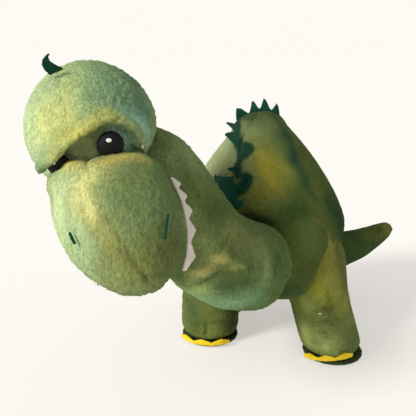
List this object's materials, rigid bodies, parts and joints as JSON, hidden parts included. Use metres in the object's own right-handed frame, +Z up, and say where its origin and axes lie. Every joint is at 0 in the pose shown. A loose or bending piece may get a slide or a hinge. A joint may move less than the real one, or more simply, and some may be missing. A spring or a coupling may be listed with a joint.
{
  "type": "stuffed dinosaur",
  "caption": "Plush long-necked dinosaur with a big drooping head, felt back crest, curved tail and four stubby legs.",
  "frame": {"origin": "middle of the overall box, on the surface the toy stands on", "axes": "+Z up, the toy faces -Y, its left side is +X"},
  "size_m": [0.3372, 0.406, 0.3015],
  "materials": {
    "plush_green": "matte",
    "plush_light": "matte",
    "plush_teal": "matte",
    "plush_yellow": "matte",
    "felt_green": "matte",
    "felt_yellow": "matte",
    "felt_cream": "matte",
    "lining_pink": "matte",
    "filling": "matte",
    "plastic_black": "gloss",
    "plastic_white": "matte"
  },
  "bodies": {
    "torso": {"torso_left_panel": "plush_green", "torso_right_panel": "plush_light", "belly_panel": "plush_teal", "torso_filling": "filling", "back_crest": "felt_green"},
    "neck": {"neck_panel": "plush_light", "throat_panel": "plush_teal", "neck_filling": "filling", "neck_crest": "felt_green"},
    "head": {"crown_left_panel": "plush_green", "crown_right_panel": "plush_light", "eye_patch": "plush_teal", "crown_filling": "filling", "brow_roll": "plush_yellow", "muzzle_left_panel": "plush_green", "muzzle_right_panel": "plush_light", "palate_lining": "lining_pink", "muzzle_filling": "filling", "teeth_left": "felt_cream", "teeth_right": "felt_cream", "nostril_left": "felt_green", "nostril_right": "felt_green", "eye_left": "plastic_black", "eye_right": "plastic_black", "eye_washer_left": "plastic_white", "eye_washer_right": "plastic_white", "head_spike": "felt_green"},
    "jaw": {"jaw_panel": "plush_green", "jaw_lining": "lining_pink", "jaw_filling": "filling"},
    "tail": {"tail_left_panel": "plush_green", "tail_right_panel": "plush_green", "tail_filling": "filling"},
    "leg_front_left": {"leg_front_left_panel": "plush_green", "leg_front_left_filling": "filling", "leg_front_left_sole": "felt_green", "leg_front_left_claws": "felt_yellow"},
    "leg_front_right": {"leg_front_right_panel": "plush_green", "leg_front_right_filling": "filling", "leg_front_right_sole": "felt_green", "leg_front_right_claws": "felt_yellow"},
    "leg_hind_left": {"leg_hind_left_panel": "plush_green", "leg_hind_left_filling": "filling", "leg_hind_left_sole": "felt_green", "leg_hind_left_claws": "felt_yellow"},
    "leg_hind_right": {"leg_hind_right_panel": "plush_green", "leg_hind_right_filling": "filling", "leg_hind_right_sole": "felt_green", "leg_hind_right_claws": "felt_yellow"}
  },
  "joints": [
    {"name": "neck_swing", "type": "hinge", "parent": "torso", "child": "neck", "pos_m": [0.007, -0.016, 0.113], "axis": [0, 0, 1], "range_deg": [-11, 12]},
    {"name": "head_nod", "type": "hinge", "parent": "neck", "child": "head", "pos_m": [-0.069, -0.079, 0.194], "axis": [0.9196, 0.1272, 0.3716], "range_deg": [-12, 3]},
    {"name": "jaw_open", "type": "hinge", "parent": "head", "child": "jaw", "pos_m": [-0.0865, -0.1227, 0.1837], "axis": [0.9196, 0.1272, 0.3716], "range_deg": [0, 5]},
    {"name": "tail_swing", "type": "hinge", "parent": "torso", "child": "tail", "pos_m": [0.042, 0.152, 0.075], "axis": [0, 0, 1], "range_deg": [-3, 20]},
    {"name": "leg_front_left_swing", "type": "hinge", "parent": "torso", "child": "leg_front_left", "pos_m": [0.067, 0.025, 0.072], "axis": [1, 0, 0], "range_deg": [-20, 5]},
    {"name": "leg_front_right_swing", "type": "hinge", "parent": "torso", "child": "leg_front_right", "pos_m": [-0.043, 0.038, 0.072], "axis": [1, 0, 0], "range_deg": [-20, 2]},
    {"name": "leg_hind_left_swing", "type": "hinge", "parent": "torso", "child": "leg_hind_left", "pos_m": [0.073, 0.101, 0.072], "axis": [1, 0, 0], "range_deg": [-5, 3]},
    {"name": "leg_hind_right_swing", "type": "hinge", "parent": "torso", "child": "leg_hind_right", "pos_m": [-0.037, 0.114, 0.072], "axis": [1, 0, 0], "range_deg": [-2, 4]}
  ]
}
